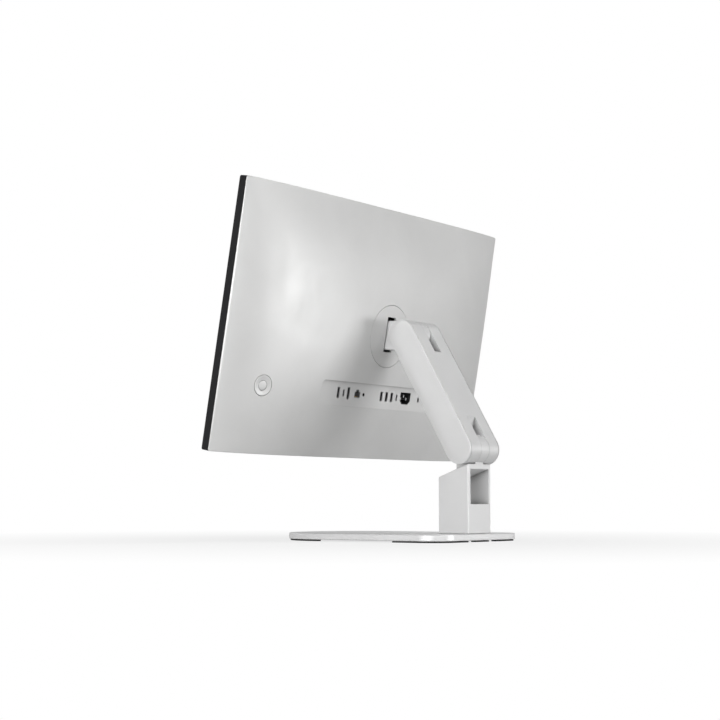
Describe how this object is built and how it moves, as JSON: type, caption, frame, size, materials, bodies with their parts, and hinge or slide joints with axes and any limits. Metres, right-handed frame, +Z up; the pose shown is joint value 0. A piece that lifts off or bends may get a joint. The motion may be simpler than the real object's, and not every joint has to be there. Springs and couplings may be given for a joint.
{
  "type": "all in one pc",
  "caption": "Wide flat screen with the computer in its domed back, on a tilting hub, a balanced swing arm, a short column and a flat rounded foot.",
  "frame": {"origin": "centre of the bounding box at table level", "axes": "+Z up, +X to the right of a person facing the screen, and the screen faces -Y"},
  "size_m": [0.613, 0.317, 0.4838],
  "materials": {
    "silver_plastic": "satin silver paint over moulded plastic",
    "silver_metal": "fine blasted silver",
    "black_plastic": "matt",
    "screen_glass": "polished, dark behind",
    "black_rubber": "matt",
    "steel": "zinc plated",
    "spring_steel": "oiled",
    "white_sheet": "clear sheet with white backing",
    "circuit_board": "green solder mask",
    "copper": "bare copper",
    "aluminium_fins": "bare",
    "socket_metal": "nickel plated",
    "socket_black": "matt"
  },
  "bodies": {
    "base": {"base_plate": "silver_metal", "column": "silver_metal", "column_screw_left": "steel", "column_screw_right": "steel", "foot_front_left": "black_rubber", "foot_front_right": "black_rubber", "foot_rear_left": "black_rubber", "foot_rear_middle": "black_rubber", "foot_rear_right": "black_rubber"},
    "arm": {"arm_body": "silver_metal", "arm_cap_left": "silver_metal", "arm_cap_right": "silver_metal", "lower_hinge_pin": "steel", "upper_hinge_pin": "steel", "lift_spring_left": "spring_steel", "lift_spring_right": "spring_steel"},
    "link": {"level_link": "steel"},
    "head": {"neck": "silver_metal"},
    "hub": {"hub_disc": "silver_metal", "hub_bracket": "steel", "tilt_shaft": "steel"},
    "fan": {"fan_rotor": "black_plastic"},
    "button": {"power_button": "silver_plastic"},
    "display": {"rear_cover": "silver_plastic", "button_ring": "silver_plastic", "front_frame": "black_plastic", "lcd_panel": "black_plastic", "camera_module": "black_plastic", "blower_housing": "black_plastic", "speaker_left": "black_plastic", "speaker_right": "black_plastic", "cover_glass": "screen_glass", "backlight_tray": "steel", "chassis_plate": "steel", "hub_ring": "steel", "power_supply": "steel", "lock_slot": "steel", "light_guide": "white_sheet", "mainboard": "circuit_board", "memory_module_1": "circuit_board", "memory_module_2": "circuit_board", "ssd_card": "circuit_board", "wireless_card": "circuit_board", "cold_plate": "copper", "heat_pipe": "copper", "radiator": "aluminium_fins", "hdmi_port": "socket_metal", "display_port": "socket_metal", "usb_c_port_1": "socket_metal", "usb_c_port_2": "socket_metal", "usb_a_port_1": "socket_metal", "usb_a_port_2": "socket_metal", "usb_a_port_3": "socket_metal", "lan_port": "socket_metal", "audio_jack": "socket_black", "power_inlet": "socket_black", "button_switch": "socket_black"}
  },
  "joints": [
    {"name": "arm_lift", "type": "hinge", "parent": "base", "child": "arm", "pos_m": [0, 0.1375, 0.1274], "axis": [1, 0, 0], "range_deg": [-25, 37]},
    {"name": "link_swing", "type": "hinge", "parent": "base", "child": "link", "pos_m": [0, 0.12702, 0.1197], "axis": [1, 0, 0], "range_deg": [-25, 37]},
    {"name": "neck_level", "type": "hinge", "parent": "arm", "child": "head", "pos_m": [0, 0.04144, 0.29179], "axis": [1, 0, 0], "range_deg": [-37, 25]},
    {"name": "screen_tilt", "type": "hinge", "parent": "head", "child": "hub", "pos_m": [0, -0.01473, 0.29641], "axis": [-1, 0, 0], "range_deg": [-10, 15]},
    {"name": "screen_roll", "type": "hinge", "parent": "hub", "child": "display", "pos_m": [0, -0.05812, 0.30371], "axis": [0, 0.9842, -0.1771], "range_deg": [-3, 3]},
    {"name": "fan_spin", "type": "hinge", "parent": "display", "child": "fan", "pos_m": [0.16, -0.0229, 0.38374], "axis": [0, 0.9842, -0.1771], "continuous": true},
    {"name": "power_press", "type": "slide", "parent": "display", "child": "button", "axis": [-0.2115, -0.9474, 0.24], "range_m": [0, 0.001], "stiffness_N_per_m": 900, "springref_m": -0.0005}
  ],
  "couplings": [
    {"joint": "link_swing", "follows": "arm_lift", "ratio": 1},
    {"joint": "neck_level", "follows": "arm_lift", "ratio": -1}
  ]
}
